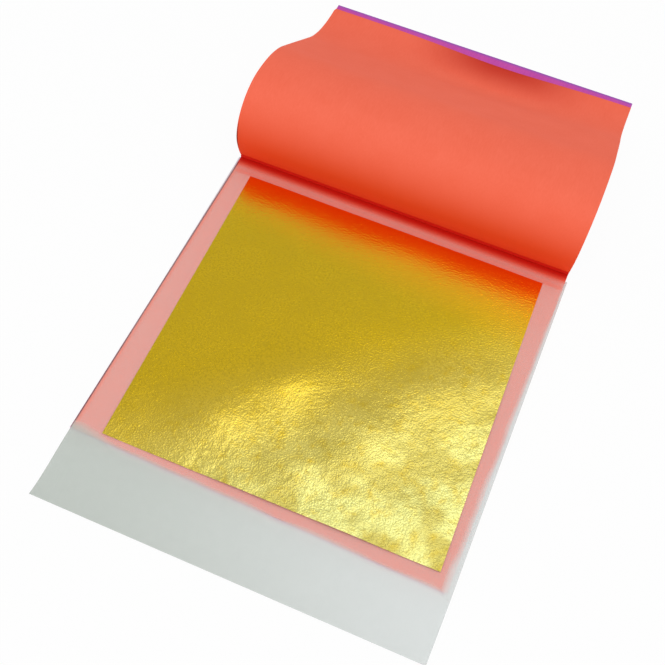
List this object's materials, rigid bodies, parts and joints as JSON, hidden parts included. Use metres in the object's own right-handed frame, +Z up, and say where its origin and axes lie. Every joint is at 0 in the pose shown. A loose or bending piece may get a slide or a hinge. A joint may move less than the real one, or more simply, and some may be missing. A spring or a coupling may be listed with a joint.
{
  "type": "gold leaf booklet",
  "caption": "Open square booklet of gold leaf: coral tissue pages stapled at one edge, front pages rolled back, and a leaf of gold on a pulled-out white tissue.",
  "frame": {"origin": "middle of the outline of the bound pages, on the back cover's lower face, at table height", "axes": "+X across the pages, +Y back towards the bound edge, +Z up"},
  "size_m": [0.0908, 0.1695, 0.0236],
  "materials": {
    "coral_paper": "thin matte tissue paper, coral red",
    "violet_card": "thin matte card, violet",
    "white_tissue": "translucent white tissue, faintly waxed",
    "gold_leaf": "beaten gold leaf, finely wrinkled",
    "steel_wire": "plain round wire"
  },
  "bodies": {
    "bound_block": {"back_cover": "violet_card", "facing_page_margin": "coral_paper", "front_cover_margin": "violet_card", "open_page_margin": "coral_paper", "rear_leaf_1": "gold_leaf", "rear_leaf_2": "gold_leaf", "rear_leaf_3": "gold_leaf", "rear_leaf_4": "gold_leaf", "rear_leaf_5": "gold_leaf", "rear_leaf_6": "gold_leaf", "rear_leaf_7": "gold_leaf", "rear_leaf_8": "gold_leaf", "rear_leaf_9": "gold_leaf", "rear_page_1": "coral_paper", "rear_page_2": "coral_paper", "rear_page_3": "coral_paper", "rear_page_4": "coral_paper", "rear_page_5": "coral_paper", "rear_page_6": "coral_paper", "rear_page_7": "coral_paper", "rear_page_8": "coral_paper", "rear_page_9": "coral_paper", "spine_strip": "violet_card", "staple_left": "steel_wire", "staple_right": "steel_wire", "turned_page_1_margin": "coral_paper", "turned_page_2_margin": "coral_paper", "turned_page_3_margin": "coral_paper", "turned_page_4_margin": "coral_paper", "turned_page_5_margin": "coral_paper"},
    "turned_pages": {"front_cover": "violet_card", "turned_page_1": "coral_paper", "turned_page_2": "coral_paper", "turned_page_3": "coral_paper", "turned_page_4": "coral_paper", "turned_page_5": "coral_paper"},
    "facing_page": {"facing_page": "coral_paper"},
    "open_page": {"open_page": "coral_paper"},
    "transfer_sheet": {"transfer_tissue": "white_tissue", "gold_leaf": "gold_leaf"}
  },
  "joints": [
    {"name": "turned_pages_swing", "type": "hinge", "parent": "bound_block", "child": "turned_pages", "pos_m": [0, 0.0405, 0.00238], "axis": [0.9996, 0.0283, 0], "range_deg": [0, 30]},
    {"name": "facing_page_swing", "type": "hinge", "parent": "turned_pages", "child": "facing_page", "pos_m": [0, 0.0405, 0.00238], "axis": [0.9996, 0.0283, 0], "range_deg": [0, 30]},
    {"name": "open_page_lift", "type": "hinge", "parent": "bound_block", "child": "open_page", "pos_m": [0, 0.0404, 0.0014], "axis": [-0.9996, -0.0283, 0], "range_deg": [0, 10]},
    {"name": "transfer_sheet_slide", "type": "slide", "parent": "open_page", "child": "transfer_sheet", "axis": [0.007, -1, 0], "range_m": [0, 0.08]}
  ]
}
